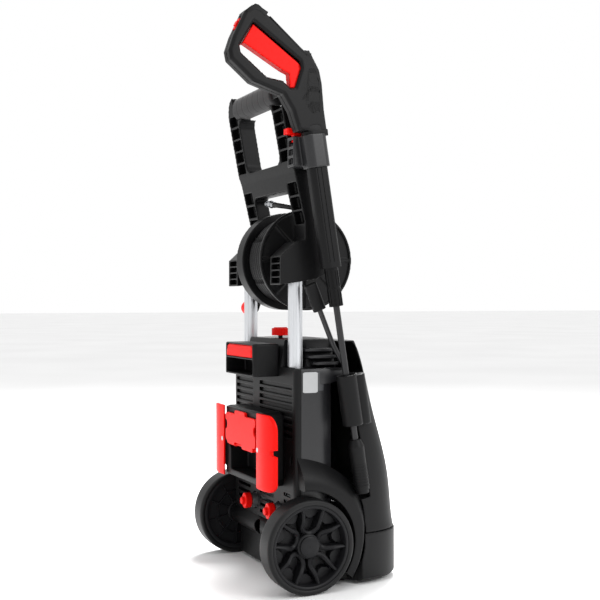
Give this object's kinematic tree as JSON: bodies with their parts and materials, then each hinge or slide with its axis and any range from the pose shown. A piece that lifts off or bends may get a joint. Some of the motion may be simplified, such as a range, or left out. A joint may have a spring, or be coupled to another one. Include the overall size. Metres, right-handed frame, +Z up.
{
  "type": "pressure washer",
  "caption": "Upright electric pressure washer on two spoked wheels, with a tube handle, cranked hose reel, parked spray gun and lance, cable hooks and accessory holder.",
  "frame": {"origin": "on the ground under the middle of the outer box", "axes": "+Z up, +Y towards the user's side with the handle, louvres and cable hooks, -Y towards the front cover, -X the side that carries the spray gun"},
  "size_m": [0.36, 0.343, 0.968],
  "materials": {
    "dark_shell": "fine-grained moulded dark grey polypropylene",
    "mid_shell": "fine-grained moulded mid grey polypropylene",
    "black_frame": "glass-filled black nylon, slightly satin",
    "accent": "self-coloured signal orange-red, satin",
    "trigger": "self-coloured red, smooth",
    "tube": "fluted extrusion, natural anodised",
    "steel": "bright turned steel",
    "zinc": "zinc-plated steel",
    "lance": "dark electro-coated steel pipe",
    "grip": "soft over-moulded elastomer",
    "tyre": "hard grey plastic tread",
    "hub": "moulded grey wheel plastic",
    "hose": "smooth dark grey high-pressure hose",
    "foot": "black rubber",
    "brass": "machined brass",
    "cast": "die-cast aluminium"
  },
  "bodies": {
    "chassis": {"axle": "steel", "axle_housing": "black_frame", "base_tray": "dark_shell", "feet": "foot", "front_cover": "dark_shell", "rear_cover": "dark_shell", "top_deck": "dark_shell", "lift_handle": "dark_shell", "lift_lip": "accent", "holder_box": "dark_shell", "holster": "dark_shell", "fender_left": "dark_shell", "fender_right": "dark_shell", "side_panel_left": "mid_shell", "side_panel_right": "mid_shell", "cable_hook_left": "accent", "cable_hook_right": "accent", "tube_left": "tube", "tube_right": "tube", "motor": "zinc", "pump": "cast", "switch_box": "black_frame", "cable_gland": "black_frame", "handle_frame": "black_frame", "handle_grip": "grip", "gun_clip": "mid_shell", "screws": "steel"},
    "wheel_l": {"wheel_left": "hub", "tyre_left": "tyre", "hub_cap_left": "hub"},
    "wheel_r": {"wheel_right": "hub", "tyre_right": "tyre", "hub_cap_right": "hub"},
    "reel": {"reel_flange_left": "dark_shell", "reel_flange_right": "black_frame", "reel_core": "black_frame", "hose_winding": "hose", "reel_axle": "steel", "crank_arm": "black_frame", "hose_tail": "hose", "hose_fitting": "steel"},
    "crank_grip": {"crank_knob": "accent"},
    "gun": {"gun_shell_left": "dark_shell", "gun_shell_right": "dark_shell", "barrel_sleeve": "dark_shell", "gun_valve": "brass", "trigger_pin": "steel", "lance_collar": "black_frame", "lance_tube": "lance"},
    "nozzle": {"turbo_nozzle": "dark_shell"},
    "trigger_lever": {"trigger": "trigger"},
    "lock": {"trigger_lock": "trigger"},
    "spare_lance": {"spare_lance_tube": "lance", "spare_lance_collar": "dark_shell"},
    "knob": {"switch_knob": "accent"},
    "cover": {"holder_cover": "accent"},
    "inlet_cap": {"inlet_plug": "accent"},
    "outlet_cap": {"outlet_plug": "accent"},
    "release": {"clip_button": "accent"},
    "fan": {"cooling_fan": "black_frame"}
  },
  "joints": [
    {"name": "wheel_left_spin", "type": "hinge", "parent": "chassis", "child": "wheel_l", "pos_m": [-0.16, 0.028, 0.079], "axis": [1, 0, 0], "continuous": true},
    {"name": "wheel_right_spin", "type": "hinge", "parent": "chassis", "child": "wheel_r", "pos_m": [0.16, 0.028, 0.079], "axis": [1, 0, 0], "continuous": true},
    {"name": "reel_spin", "type": "hinge", "parent": "chassis", "child": "reel", "pos_m": [0, -0.022, 0.56], "axis": [1, 0, 0], "continuous": true},
    {"name": "crank_knob_spin", "type": "hinge", "parent": "reel", "child": "crank_grip", "pos_m": [0.15, 0.0028, 0.4735], "axis": [1, 0, 0], "continuous": true},
    {"name": "gun_lift", "type": "slide", "parent": "chassis", "child": "gun", "axis": [0, 0.157, 0.9876], "range_m": [0, 0.62]},
    {"name": "nozzle_twist", "type": "hinge", "parent": "gun", "child": "nozzle", "pos_m": [-0.156, -0.07332, 0.2], "axis": [0, 0.157, 0.9876], "range_deg": [0, 90]},
    {"name": "trigger_pull", "type": "hinge", "parent": "gun", "child": "trigger_lever", "pos_m": [-0.156, 0.034, 0.862], "axis": [1, 0, 0], "range_deg": [0, 6], "stiffness_Nm_per_rad": 2, "springref_deg": -8.59},
    {"name": "trigger_lock_slide", "type": "slide", "parent": "gun", "child": "lock", "axis": [0, -0.4384, 0.8988], "range_m": [0, 0.005]},
    {"name": "spare_lance_lift", "type": "slide", "parent": "chassis", "child": "spare_lance", "axis": [0, 0.157, 0.9876], "range_m": [0, 0.075]},
    {"name": "switch_turn", "type": "hinge", "parent": "chassis", "child": "knob", "pos_m": [0, 0.004, 0.431], "axis": [0, 0, 1], "range_deg": [0, 90]},
    {"name": "holder_cover_hinge", "type": "hinge", "parent": "chassis", "child": "cover", "pos_m": [0, 0.077, 0.227], "axis": [-1, 0, 0], "range_deg": [0, 100]},
    {"name": "inlet_plug_pull", "type": "slide", "parent": "chassis", "child": "inlet_cap", "axis": [0, 1, 0], "range_m": [0, 0.03]},
    {"name": "outlet_plug_pull", "type": "slide", "parent": "chassis", "child": "outlet_cap", "axis": [0, 1, 0], "range_m": [0, 0.03]},
    {"name": "clip_button_press", "type": "slide", "parent": "chassis", "child": "release", "axis": [0, 0, -1], "range_m": [0, 0.0018], "stiffness_N_per_m": 300, "springref_m": -0.002},
    {"name": "fan_spin", "type": "hinge", "parent": "chassis", "child": "fan", "pos_m": [0, -0.048, 0.352], "axis": [0, 0, 1], "continuous": true}
  ]
}
